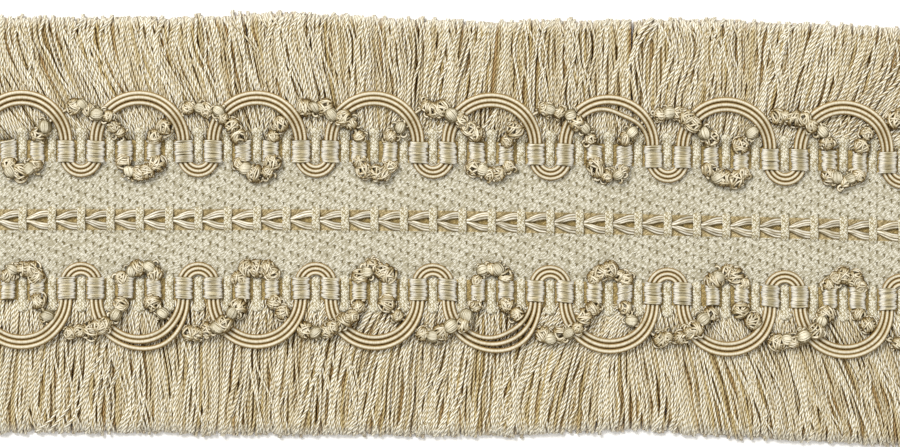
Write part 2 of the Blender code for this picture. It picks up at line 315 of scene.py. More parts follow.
@dataclass(frozen=True)
class Finish:
    """What every finish of the trim has.

    Attributes:
        name: The material's name.
        roughness: How dull its shine is.
        sheen: How much soft light its fibres catch at their edges.
        gloss: How strong its shine is.
        relief: How high its threads or filaments stand, in millimetres.
    """

    name: str
    roughness: float = 0.5
    sheen: float = 0.2
    gloss: float = 0.35
    relief: float = 0.25

    @cached_property
    def material(self) -> Material:
        """The finish as a material, made once."""
        made = bpy.data.materials.new(self.name)
        made.use_nodes = True
        tree = made.node_tree
        shader = tree.nodes["Principled BSDF"]
        shader.inputs["Roughness"].default_value = self.roughness
        shader.inputs["Sheen Weight"].default_value = self.sheen
        shader.inputs["Specular IOR Level"].default_value = self.gloss
        add = partial(add_node, tree)
        colour, height = self.add_pattern(add)
        bump = add("Bump", {"Height": height, "Distance": self.relief * MM})
        tree.links.new(result(colour), shader.inputs["Base Color"])
        tree.links.new(result(bump), shader.inputs["Normal"])
        return made

    def add_pattern(self, add: Adder) -> tuple[Node, Node]:
        """Adds the nodes of its pattern.

        Args:
            add: Adds a node to the tree.

        Returns:
            Its colour, and its height from 0 to 1.
        """
        raise NotImplementedError


@dataclass(frozen=True, kw_only=True)
class SilkyYarn(Finish):
    """Bright viscose yarn of many fine filaments that run along it, and glossy. Its colour
    holds painted light by how far each part faces up: a cream painted highlight along its
    top and painted honey-brown shade down its sides.

    Attributes:
        light: Colour of the filaments that catch the light.
        shade: Colour of the dips between them.
        painted_light_by_facing: Places by how far a part faces up, and their colours of painted
            shade and highlight.
        filaments: How many bundles of filaments go round the yarn.
        run: Millimetres that a bundle stays at the surface.
        variety: How much darker the darkest yarn is than the lightest.
        painted_end_highlight: How strong a painted highlight a yarn's ends take where it bends
            down, along X.
    """

    light: str
    shade: str
    painted_light_by_facing: Stops
    filaments: float
    run: float
    variety: float = 0.3
    painted_end_highlight: float = 0.0
    sheen: float = 0.0
    relief: float = 0.05

    def add_pattern(self, add: Adder) -> tuple[Node, Node]:
        """Adds the nodes of its pattern.

        Args:
            add: Adds a node to the tree.

        Returns:
            Its colour, and its height from 0 to 1.
        """
        tint = add("Attribute", attribute_name="tint").outputs["Fac"]
        own = add("Math MULTIPLY", (tint, 70.0))
        own_place = add("CombineXYZ", {0: own, 2: own})
        scale = (1 / self.run, self.filaments, 1.0)
        uv = add("UVMap", uv_map="yarn")
        moved = add("VectorMath MULTIPLY_ADD", (uv, scale, own_place))
        lines = add("TexNoise", {"Vector": moved, "Scale": 1.0, "Detail": 2.0})
        colour = add("ValToRGB", {0: lines}, ((0.34, self.shade), (0.58, self.light)))
        up = add("SeparateXYZ", {0: add("TexCoord").outputs["Normal"]})
        # Painted light and shade, picked by how far each part faces up.
        facing = add("Math ABSOLUTE", {0: up.outputs[2]})
        slope_shading = add("ValToRGB", {0: facing}, self.painted_light_by_facing)
        spread = add("MapRange", {0: tint, 3: 1.0 - self.variety, 4: 1.0})
        for shade in (slope_shading, spread):
            colour = add("Mix", {0: 1.0, 6: colour, 7: shade}, **MULTIPLIED)
        # A painted highlight where the yarn bends down along X, at its ends.
        bent = add("Math ABSOLUTE", {0: up.outputs[0]})
        gleam = add("MapRange", (bent, 0.08, 0.4, 0.0, self.painted_end_highlight))
        highlighted_ends = add("Mix", {0: gleam, 6: colour, 7: linear("#FFFDF6")}, **MIXED)
        return highlighted_ends, lines


@dataclass(frozen=True)
class TwoPlyYarn(Finish):
    """Viscose yarn of two plies twisted together, cut at one end. Each turn of a ply
    shows as a slanting oval, with a painted highlight on its crest and painted honey-brown
    shade in its groove; the strand's top is painted lighter than its sides. The cut end
    is paler where the filaments open. The turns are drawn a little longer than the real
    ones, which are too fine to show.

    Attributes:
        crest: Painted highlight on the plies' crests, and the colour the cut end pales to.
        slope_shading: Painted shade on their slopes.
        groove: Painted shade in the groove between them.
        seam_shade: Painted shade along a strand's sides, where it meets the next.
        pile_shade: Painted shade of strands that lie low in the pile, where little light reaches.
        pile_bottom_shade: Painted shade of the strands at its bottom.
        spacing: Millimetres from oval to oval along the yarn.
        slant: How many spacings an oval leans over half the yarn's width.
        sides: How many sides the strands' tubes have, one of them straight up.
        opened: Millimetres of opened filaments at the cut end.
    """

    crest: str = "#F5F0E0"
    slope_shading: str = "#CABE9A"
    groove: str = "#A18C5E"
    seam_shade: str = "#B08E5E"
    pile_shade: str = "#D2C298"
    pile_bottom_shade: str = "#BC9F74"
    spacing: float = 1.5
    slant: float = -0.58
    sides: int = 6
    opened: float = 2.5
    sheen: float = 0.0

    def add_pattern(self, add: Adder) -> tuple[Node, Node]:
        """Adds the nodes of its pattern.

        Args:
            add: Adds a node to the tree.

        Returns:
            Its colour, and its height from 0 to 1.
        """
        uv = add("SeparateXYZ", {0: add("UVMap", uv_map="yarn")})
        along, around = uv.outputs[0], uv.outputs[1]
        tint = add("Attribute", attribute_name="tint").outputs["Fac"]
        angle = add("Math MULTIPLY_ADD", (around, 2 * pi, -pi / self.sides))
        aside = add("Math SINE", {0: angle})
        up = add("Math COSINE", {0: angle})
        crown = add("Math MAXIMUM", (up, 0.0))
        own = add("Math MULTIPLY", (tint, 31.0))
        wound = add("Math MULTIPLY_ADD", (along, 1 / self.spacing, own))
        phase = add("Math MULTIPLY_ADD", (aside, self.slant, wound))
        turn = add("Math FRACT", {0: phase})
        arc = add("Math MULTIPLY", (turn, pi))
        ply = add("Math SINE", {0: arc})
        # Painted highlight on each ply's crest, painted shade between the plies and down the
        # strand's sides.
        height = add("Math MULTIPLY", (ply, crown))
        stops = ((0.12, self.groove), (0.9, self.crest), (0.45, self.slope_shading))
        colour = add("ValToRGB", {0: height}, stops)
        spot = add("CombineXYZ", (wound, aside))
        gleam = add("TexNoise", {"Vector": spot, "Scale": 0.8, "Detail": 1.0})
        dull = add("MapRange", (gleam, 0.3, 0.6, 0.76))
        # Painted shade by layer: a low tint marks a strand that lies low in the pile.
        stops = ((0.0, self.pile_bottom_shade), (0.7, "#FFFFFF"), (0.16, self.pile_shade))
        pile_shading = add("ValToRGB", {0: tint}, stops)
        # Painted shade along the strand's sides, where it meets the next.
        edge = add("ValToRGB", {0: crown}, ((0.3, self.seam_shade), (0.72, "#FFFFFF")))
        for shade in (dull, pile_shading, edge):
            colour = add("Mix", {0: 1.0, 6: colour, 7: shade}, **MULTIPLIED)
        end = add("MapRange", (along, 0.0, self.opened, 0.5, 0.0))
        cut = add("Mix", {0: end, 6: colour, 7: linear(self.crest)}, **MIXED)
        return cut, height


@dataclass(frozen=True)
class Weave(Finish):
    """A close weave of short slanting floats. Its UV map "cloth" is in millimetres.

    Attributes:
        light: Colour of the floats.
        float_size: A float's length and width.
        slant: How steeply the floats slant, in degrees.
        unevenness: How far the floats lie from even rows, from 0 to 1.
    """

    light: str = "#EEEADB"
    float_size: tuple[float, float] = (0.75, 0.4)
    slant: float = 52.0
    unevenness: float = 0.55

    def add_floats(self, add: Adder, uv: Node) -> Node:
        """Adds the floats.

        Args:
            add: Adds a node to the tree.
            uv: The places on the cloth.

        Returns:
            The distances from their middles.
        """
        lie = {0: uv, 2: (0, 0, radians(self.slant)), 3: (*self.float_size, 1)}
        slanted = add("Mapping", lie, vector_type="TEXTURE")
        inputs = {"Vector": slanted, "Scale": 1.0, "Randomness": self.unevenness}
        return add("TexVoronoi", inputs)


@dataclass(frozen=True)
class StripWeave(Weave):
    """A rib of close weave: fine cream floats, seen as slanting dashes, with painted tan
    shade in the small dips between them.

    Attributes:
        body: Painted shade on the floats' slopes.
        dip: Painted shade in the dips between them.
    """

    body: str = "#C6BFA6"
    dip: str = "#877850"

    def add_pattern(self, add: Adder) -> tuple[Node, Node]:
        """Adds the nodes of its pattern.

        Args:
            add: Adds a node to the tree.

        Returns:
            Its colour, and its height from 0 to 1.
        """
        cells = self.add_floats(add, add("UVMap", uv_map="cloth"))
        # Lightest in each float's middle, with painted shade down its slopes and in the dips.
        stops = ((0.15, self.light), (0.7, self.dip), (0.45, self.body))
        colour = add("ValToRGB", {0: cells}, stops)
        return colour, add("Math SUBTRACT", (1.0, cells))


@dataclass(frozen=True)
class GroundWeave(Weave):
    """The band's weave: a close cream cloth of short slanting floats, with a small
    tan fleck wherever the binding thread dips.

    The floats are drawn twice as long as the real ones, which are too fine to show.

    Attributes:
        shade: Painted shade between the floats.
        fleck: Colour of the flecks.
        bare: Colour of the bare warp along the centre row and under the borders: its own tan,
            deepened with painted shade where it lies sunk between raised rows.
        column: Millimetres between columns of flecks.
        row: Millimetres between flecks in a column.
        step: How much lower each column's flecks lie than the last one's.
        strokes: A fleck's upright and its bar, as half a width, half a height and
            how far up it lies, in millimetres.
        recess: How far from the middle line the centre row's warp is quite bare.
        covered: How bare it looks past that, where the chevrons' corners cover it.
    """

    light: str = "#EAE6D6"
    float_size: tuple[float, float] = (1.15, 0.33)
    slant: float = 38.0
    relief: float = 0.22
    shade: str = "#999177"
    fleck: str = "#6A5C32"
    bare: str = "#DEC78F"
    column: float = RIB_PITCH / 4
    row: float = 3.19
    step: float = 0.8
    strokes: Route = ((0.25, 0.62, 0.0), (0.55, 0.26, 0.35))
    recess: float = 1.0
    covered: float = 0.8

    def add_pattern(self, add: Adder) -> tuple[Node, Node]:
        """Adds the nodes of its pattern.

        Args:
            add: Adds a node to the tree.

        Returns:
            Its colour, and its height from 0 to 1.
        """
        uv = add("UVMap", uv_map="cloth")
        cells = self.add_floats(add, uv)
        # Lightest in each float's middle, with painted shade between the floats.
        cloth = add("ValToRGB", {0: cells}, ((0.14, self.light), (0.62, self.shade)))
        mark = self.add_flecks(add, uv)
        flecked = add("Mix", {0: mark, 6: cloth, 7: linear(self.fleck)}, **MIXED)
        # The bare warp: the cloth times its tan, which also serves as painted shade where the warp
        # lies sunk.
        bare = add("Mix", {0: 1.0, 6: cloth, 7: linear(self.bare)}, **MULTIPLIED)
        warp = self.add_bare_warp(add, uv)
        coloured = add("Mix", {0: warp, 6: flecked, 7: bare}, **MIXED)
        sunk = add("Math ADD", (mark, cells))
        return coloured, add("Math SUBTRACT", (1.0, sunk))

    def add_flecks(self, add: Adder, uv: Node) -> Node:
        """Adds the stepped rows of flecks.

        Args:
            add: Adds a node to the tree.
            uv: The places on the cloth.

        Returns:
            1 on a fleck and 0 off it.
        """
        wobble = add("TexNoise", {"Vector": uv, "Scale": 1.1})
        wobbled = add("VectorMath MULTIPLY_ADD", (wobble.outputs[1], (0.8, 0.8, 0.0), uv))
        split = add("SeparateXYZ", {0: wobbled})
        column = add("Math DIVIDE", (split, self.column))
        number = add("Math FLOOR", {0: column})
        lowered = add("Math MULTIPLY_ADD", (number, self.step, split.outputs[1]))
        row = add("Math DIVIDE", (lowered, self.row))
        marks = []
        for wide, tall, up in self.strokes:
            raised = add("Math SUBTRACT", (row, up / self.row))
            parts = []
            for share, reach in ((column, wide / self.column), (raised, tall / self.row)):
                part = add("Math PINGPONG", (share, 0.5))
                parts.append(add("MapRange", (part, 0.5 - reach, 0.5 - reach * 0.3)))
            marks.append(add("Math MULTIPLY", tuple(parts)))
        return add("Math MAXIMUM", tuple(marks))

    def add_bare_warp(self, add: Adder, uv: Node) -> Node:
        """Adds the centre row and the borders, where the warp shows.

        Args:
            add: Adds a node to the tree.
            uv: The places on the cloth.

        Returns:
            How bare the warp is, from 0 to 1.
        """
        across = add("SeparateXYZ", {0: uv}).outputs[1]
        away = add("Math ABSOLUTE", {0: across})
        recess = add("MapRange", (away, self.recess, self.recess + 0.6, 1.0, self.covered))
        inside = add("MapRange", (away, CENTRE_ROW - 0.2, CENTRE_ROW, 1.0, 0.0))
        centre = add("Math MULTIPLY", (recess, inside))
        border = add("MapRange", (away, BORDER_START, BORDER_START + 0.3))
        return add("Math MAXIMUM", (centre, border))


# Two plies of viscose in a brush: soft, with a painted highlight on every turn and painted shade
# between the turns and down each strand's sides.
STRAND = TwoPlyYarn("viscose_two_ply_yarn", roughness=0.4, gloss=0.2)

# Viscose wound round a core: smooth, with one painted highlight along its top and painted brown
# shade down its sides.
GIMP = SilkyYarn(
    "viscose_wound_gimp", roughness=0.35, gloss=0.3, relief=0.04,
    light="#DBD6C9", shade="#C6BEAB", filaments=0.7, run=0.3, variety=0.1,
    painted_light_by_facing=((0.3, "#A8864A"), (0.68, "#A88F60"), (0.88, "#CFC4A4"), (0.99, "#FBF7EC")),
)

# Untwisted viscose in long floats: filament streaks, painted highlights on the slopes and where a
# float bends down at its ends, painted shade on its sides and a greyer top.
SATIN = SilkyYarn(
    "viscose_satin_float", roughness=0.3, gloss=0.6, variety=0.35, painted_end_highlight=0.5,
    light="#ECE6D2", shade="#A69C7E", filaments=3.0, run=2.0,
    painted_light_by_facing=((0.2, "#84744A"), (0.6, "#B2A684"), (0.9, "#DED6BE"), (0.99, "#C6BEA4")),
)

# Untwisted viscose in thick strands: a few broad streaks, a narrow painted highlight along each
# strand's top and painted brown shade down its sides.
CHEVRON = SilkyYarn(
    "viscose_satin_strand", roughness=0.3, gloss=0.5, relief=0.08,
    light="#EEEADE", shade="#B4AB94", filaments=2.5, run=3.0,
    painted_light_by_facing=((0.25, "#7A6030"), (0.62, "#A39672"), (0.86, "#CFC6AE"), (0.98, "#FFFDF8")),
)

# Fine viscose thread in curls: painted highlights along the tops of its turns, and painted brown
# shade down their sides.
KNOT = SilkyYarn(
    "viscose_curled_yarn", roughness=0.4, gloss=0.2,
    light="#F0EADA", shade="#BDB398", filaments=2.0, run=1.5,
    painted_light_by_facing=((0.12, "#725A30"), (0.58, "#9A875C"), (0.84, "#D8CEB4"), (0.96, "#FFFDF6")),
)

# Loose viscose filaments over a swelling: soft and glossy, with a painted highlight on each
# filament's top and painted shade down its sides.
BEAD = SilkyYarn(
    "viscose_swollen_yarn", roughness=0.38, gloss=0.4,
    light="#E2DCCA", shade="#B4AC94", filaments=2.0, run=2.0,
    painted_light_by_facing=((0.1, "#83744F"), (0.45, "#B5AB90"), (0.78, "#DAD4C2"), (0.95, "#FFFDF6")),
)

# Close cotton weave, and cotton with viscose: matt, with a soft light on the fibres.
RIB = StripWeave("cotton_rib_weave", roughness=0.7)
GROUND = GroundWeave("cotton_viscose_ground", roughness=0.8)


def dress(piece: Object, slot: str, *nodes: str) -> None:
    """Attaches a finished piece to the root, hides the frame's parts that it stands for, and logs
    its triangles.

    Args:
        piece: The piece.
        slot: Not used.
        nodes: The frame's nodes that it stands for.
    """
    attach(piece, "root")
    if nodes:
        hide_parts(*nodes)
    triangles = sum(len(face.vertices) - 2 for face in piece.data.polygons)
    log.info("%s: %d triangles", piece.name, triangles)


def lay_out(mesh: Mesh, flat: Sequence[tuple[float, float]]) -> None:
    """Writes a sheet's UV map "cloth".

    Args:
        mesh: The sheet.
        flat: Each vertex's millimetres along and across.
    """
    layer = mesh.uv_layers[0]
    layer.name = "cloth"
    for loop in mesh.loops:
        layer.data[loop.index].uv = flat[loop.vertex_index]


def thicken(piece: Object, thick: float, offset: float) -> None:
    """Makes a sheet thick.

    Args:
        piece: The sheet.
        thick: Its thickness in millimetres.
        offset: The side that it grows to, 1 along the normals and -1 against them.
    """
    solid = piece.modifiers.new("thickness", "SOLIDIFY")
    solid.thickness = thick * MM
    solid.offset = offset
    bpy.ops.object.modifier_apply(modifier=solid.name)


@dataclass
class GroundBand:
    """The woven band: a flat strip of cloth, sunk a little along its centre row."""

    trim: Trim
    columns: int = 130
    rows: int = 50
    thick: float = 0.8
    centre_sink: float = 0.2
    underside: float = 0.45

    def build(self) -> Object:
        """Builds the band as a sheet of cloth that lies on the floor.

        Returns:
            The band.
        """
        cells = {"x_subdivisions": self.columns, "y_subdivisions": self.rows}
        bpy.ops.object.select_all(action="DESELECT")
        bpy.ops.mesh.primitive_grid_add(**cells, size=2)
        band = bpy.context.object
        band.name = band.data.name = "ground_cloth"
        mesh = band.data
        flat = [(v.co.x * HALF_LENGTH, v.co.y * HALF_WIDTH) for v in mesh.vertices]
        lay_out(mesh, flat)
        for vertex, (along, across) in zip(mesh.vertices, flat):
            sink = self.centre_sink if abs(across) < CENTRE_ROW else 0.0
            vertex.co = self.trim.place(along, across, BAND_TOP - sink)
        thicken(band, self.thick, -1)
        for vertex in mesh.vertices:
            if vertex.co.z < self.underside * MM:
                vertex.co.z = 0.0
        bpy.ops.object.shade_smooth_by_angle(angle=radians(40))
        mesh.materials.append(GROUND.material)
        dress(band, "ground", "ground_band")
        return band


@dataclass
class WovenStrips:
    """A row of narrow strips of close weave, all alike, that run across the trim.

    A row of the outline gives its distance from the trim's middle line, half the
    strip's width there, and the height of its crown.
    """

    trim: Trim
    name: str
    outline: Route
    thick: float = 0.7
    crown: float = 0.4

    def build(self, slot: str, sign: int = 1) -> None:
        """Builds one strip, then a copy of it for every rib place, as one piece.

        Args:
            slot: A slot name, handed on to dress.
            sign: 1 to build them as the outline says, -1 on the trim's other side.
        """
        model = self.build_one(sign)
        strips = []
        for along in RIB_PLACES:
            select_only(model)
            bpy.ops.object.duplicate()
            strips.append(bpy.context.object)
            place = self.trim.place(along, 0.0, 0.0)
            strips[-1].location = place - self.trim.place(0.0, 0.0, 0.0)
        bpy.data.objects.remove(model)
        select_only(*strips)
        bpy.ops.object.join()
        bpy.ops.object.transform_apply(location=True, rotation=False, scale=False)
        row = bpy.context.object
        row.name = row.data.name = self.name
        dress(row, slot)

    def build_one(self, sign: int) -> Object:
        """Builds the strip that crosses the middle of the trim's length.

        Args:
            sign: 1 to build it as the outline says, -1 on the trim's other side.

        Returns:
            The strip.
        """
        bpy.ops.object.select_all(action="DESELECT")
        bpy.ops.mesh.primitive_grid_add(x_subdivisions=6, y_subdivisions=20, size=2)
        strip = bpy.context.object
        mesh = strip.data
        rows = np.array(self.outline)
        at = np.linspace(0, 1, len(rows))
        flat = []
        for vertex in mesh.vertices:
            share = (vertex.co.y + 1) / 2
            across, half, top = (np.interp(share, at, rows[:, k]) for k in range(3))
            lie = vertex.co.x
            flat.append((lie * half, across))
            height = top - self.crown * abs(lie) ** 3
            vertex.co = self.trim.place(lie * half, sign * across, height)
        lay_out(mesh, flat)
        thicken(strip, self.thick, -sign)
        bpy.ops.object.mode_set(mode="EDIT")
        bpy.ops.mesh.select_all(action="SELECT")
        bpy.ops.mesh.normals_make_consistent(inside=False)
        bpy.ops.object.mode_set(mode="OBJECT")
        bpy.ops.object.shade_smooth_by_angle(angle=radians(60))
        mesh.materials.append(RIB.material)
        return strip


@dataclass
class Border:
    """What the rows of one side of the trim share."""

    trim: Trim
    side: Side

    def named(self, start: str) -> str:
        """A name that ends with this side's word."""
        return f"{start}_{self.side.name.lower()}"

    def draw(self, purpose: str, detail: str = "") -> random.Random:
        """Random numbers of its own for each purpose on this side."""
        return random.Random(f"{purpose} {self.side.name.lower()}{detail}")

    def spot(self, along: Numbers, out: Numbers, height: Numbers) -> np.ndarray:
        """Places on this side, out from the middle line, as points of the frame."""
        return self.trim.place(along, self.side.value * out, height)


@dataclass
class Chevrons(Border):
    """One side's half of the chevrons in the middle row: satin strands that open from
    one bar towards the next. An arm's strands fan out between two routes.

    The routes give places along from a bar's middle and out from the trim's middle
    line, and heights.
    """

    outer_route: Route = (
        (0.4, 0.3, 1.0), (1.7, 0.6, 1.3), (3.0, 1.25, 1.45),
        (4.3, 1.85, 1.5), (5.6, 2.25, 1.35), (7.6, 2.4, 1.0),
    )
    inner_route: Route = (
        (1.2, 0.3, 1.1), (2.4, 0.36, 1.4), (3.6, 0.55, 1.6),
        (4.9, 0.9, 1.55), (6.2, 1.1, 1.35), (7.8, 1.15, 1.0),
    )
    strands: int = 3
    strand: float = 0.46
    rise: float = 0.25

    def build(self) -> None:
        """Builds the strands."""
        draw = self.draw("chevrons")
        strands = YarnBundle(self.named("chevron_strands"), rounding=2)
        for bar in (RIB_PLACES[0] - RIB_PITCH, *RIB_PLACES):
            for share in np.linspace(0, 1, self.strands):
                route = np.array(self.outer_route) * (1 - share)
                rows = smooth_route(route + np.array(self.inner_route) * share, 3)
                rows += (bar, draw.uniform(-0.1, 0.1), self.rise * sin(pi * share))
                rows = rows[abs(rows[:, 0]) < HALF_LENGTH]
                if len(rows) > 2:
                    radius = self.strand * draw.uniform(0.94, 1.08)
                    strands.add(self.spot(*rows.T), radius, draw.random())
        dress(strands.build(CHEVRON), "gimp", self.named("chevron_cord"))


CENTRE_BAR = (
    (-3.7, 1.0, 1.15), (-3.1, 1.1, 1.9), (-1.5, 1.1, 2.4), (0.0, 1.05, 2.5),
    (1.5, 1.1, 2.4), (3.1, 1.1, 1.9), (3.7, 1.0, 1.15),
)


@dataclass
class Binding(Border):
    """One border's satin binding: ribs of close weave, and between them patches of
    satin floats that hold the cords down."""

    inner: float = 15.85
    outer: float = 21.95
    floats: int = 15
    float_radius: float = 0.32
    crest: float = 2.8
    foot: float = 1.5
    rib: Route = (
        (15.4, 1.05, 1.15), (16.4, 1.1, 1.75), (18.0, 1.1, 1.95), (20.0, 1.1, 1.95),
        (22.0, 1.15, 1.9), (22.8, 1.25, 2.0), (23.7, 1.45, 2.3), (24.6, 1.5, 2.6),
        (25.3, 1.1, 2.4), (25.6, 0.6, 2.2),
    )

    def build(self) -> None:
        """Builds the ribs and the patches."""
        ribs = WovenStrips(self.trim, self.named("ribs"), self.rib)
        ribs.build("satin", self.side.value)
        self.build_patches()

    def build_patches(self) -> None:
        """Builds the satin patches, wide over the gimp cords and narrow over the
        knotted yarn."""
        draw = self.draw("patches")
        patches = YarnBundle(self.named("satin_patches"), rounding=0)
        pitch = (self.outer - self.inner - 2 * self.float_radius) / (self.floats - 1)
        share = np.array([-1, -0.85, -0.62, -0.3, 0, 0.3, 0.62, 0.85, 1])
        dome = np.array([0.4, 0.66, 0.87, 0.98, 1, 0.98, 0.87, 0.66, 0.4])
        for k, rib in enumerate(RIB_PLACES):
            over_gimp = k % 4 in (2, 3)
            half = draw.uniform(2.1, 2.35) if over_gimp else draw.uniform(1.65, 2.0)
            centre = rib + RIB_PITCH / 2 + draw.uniform(-0.3, 0.3) * (not over_gimp)
            slope = draw.uniform(-0.5, 0.5) if over_gimp else draw.uniform(-0.9, 0.9)
            for number in range(self.floats):
                crest = self.crest + draw.uniform(-0.08, 0.08)
                out = self.inner + self.float_radius + number * pitch
                out = out + draw.uniform(-0.05, 0.05) + slope * share / 2
                out += draw.uniform(-0.12, 0.12) * np.cos(share * 2)
                along = centre + share * half + draw.uniform(-0.25, 0.25) * abs(share)
                height = self.foot + (crest - self.foot) * dome
                kept = abs(along) < HALF_LENGTH
                if kept.sum() > 2:
                    points = self.spot(along, out, height)[kept]
                    patches.add(points, self.float_radius, draw.random())
        dress(patches.build(SATIN), "satin", self.named("binding"))


# Where single gimp cords have worked loose. The keys are the border, the arch from the
# left end, and the cord, from 1, outermost, to -1. The values are the share of the arch
# where the cord is loosest, and how many millimetres further out it lies there.
SLACKS = {
    (Side.UPPER, 5, -1): (0.66, -1.7),
    (Side.LOWER, 4, 1): (0.7, 0.9),
    (Side.LOWER, 4, -1): (0.72, -1.0),
    (Side.LOWER, 1, 1): (0.7, 1.0),
}


@dataclass
class GimpCords(Border):
    """One border's three gimp cords, side by side in arches over the fringe and in
    loops over the band."""

    spacing: float = 1.2
    spread: float = 0.2
    radius: float = 0.58
    swell: float = 0.1
    arch_radius: float = 12.1
    arch_centre: float = 21.7
    loop_centre: float = 17.6
    arch_steps: int = 28
    loop_steps: int = 14
    low: float = 1.8
    high: float = 2.95
    crossing: float = 3.75

    def build(self) -> None:
        """Builds the three cords, each a piece of its own."""
        for place, number in (("outer", 1), ("middle", 0), ("inner", -1)):
            rows = np.vstack(list(self.route(number)))
            rows = rows[abs(rows[:, 0]) < HALF_LENGTH]
            out = np.clip((rows[:, 1] - self.arch_centre) / self.arch_radius, 0, 1)
            cord = YarnBundle(f"{self.named('gimp_cord')}_{place}", rounding=3)
            cord.add(self.spot(*rows.T), self.radius + self.swell * out, (number + 2) / 3)
            dress(cord.build(GIMP), "gimp", f"{self.named('gimp')}_{place}")

    def route(self, number: int) -> Iterable[np.ndarray]:
        """The stretches of one cord: an arch, a loop, and so on.

        Args:
            number: The cord, 1 outermost on the arches, 0 in the middle, -1 innermost.

        Yields:
            Rows of places along and out from the trim's middle line, and heights.
        """
        draw = self.draw("gimp", f" {number}")
        share = np.linspace(0, 1, self.arch_steps + 1)
        turn = pi * (1 - share)
        dip = pi * (1 + np.arange(1, self.loop_steps) / self.loop_steps)
        # It climbs over the fringe, and higher over the knotted yarn that passes under
        # its right leg.
        out = np.minimum(1.0, 5 * np.minimum(share, 1 - share))
        over = np.exp(-(((share - 0.75) / 0.09) ** 2))
        height = self.low + (self.high - self.low) * out + (self.crossing - self.high) * over
        loop_reach = REPEAT / 2 - self.arch_radius - number * self.spacing
        for k in range(REPEATS + 1):
            centre = FIRST_ARCH + k * REPEAT
            offset = number * (self.spacing + self.spread * np.sin(turn))
            offset += draw.uniform(-0.12, 0.12) * np.sin(turn) ** 2
            loosest, gape = SLACKS.get((self.side, k, number), (0.5, 0.0))
            nearness = np.exp(-(((share - loosest) / 0.2) ** 2))
            offset += gape * nearness * np.sin(turn)
            reach = self.arch_radius + offset
            along = centre + reach * np.cos(turn)
            across = self.arch_centre + reach * np.sin(turn)
            yield np.column_stack([along, across, height])
            along = centre + REPEAT / 2 + loop_reach * np.cos(dip)
            across = self.loop_centre + loop_reach * np.sin(dip)
            yield np.column_stack([along, across, np.full(len(dip), self.low)])


class Lump(Enum):
    """What the knotted yarn does at a station."""

    THIN = 0
    TANGLE = 1
    BEAD = 2


@dataclass(frozen=True)
class Station:
    """One place on the knotted yarn within a repeat, from the centre of an arch."""

    along: float
    out: float
    height: float
    lump: Lump


YARN_STATIONS = tuple(Station(*row) for row in (
    (-4.06, 21.6, 1.9, Lump.THIN), (-4.06, 18.6, 1.9, Lump.THIN),
    (-4.2, 15.7, 2.2, Lump.TANGLE), (-2.6, 13.9, 2.3, Lump.BEAD),
    (0.0, 13.1, 2.3, Lump.TANGLE), (2.4, 13.6, 2.3, Lump.BEAD),
    (4.3, 15.5, 2.2, Lump.TANGLE), (4.06, 18.6, 1.9, Lump.THIN),
    (4.2, 22.9, 2.6, Lump.TANGLE), (6.7, 26.0, 3.1, Lump.BEAD),
    (8.6, 27.8, 2.7, Lump.THIN), (11.6, 30.0, 2.7, Lump.THIN),
    (14.0, 31.0, 3.2, Lump.TANGLE), (16.4, 31.2, 3.3, Lump.BEAD),
    (19.0, 30.7, 3.3, Lump.TANGLE), (21.5, 29.6, 4.2, Lump.BEAD),
    (23.8, 28.2, 4.3, Lump.TANGLE), (26.0, 26.3, 3.7, Lump.BEAD),
    (27.6, 23.8, 2.9, Lump.TANGLE),
))


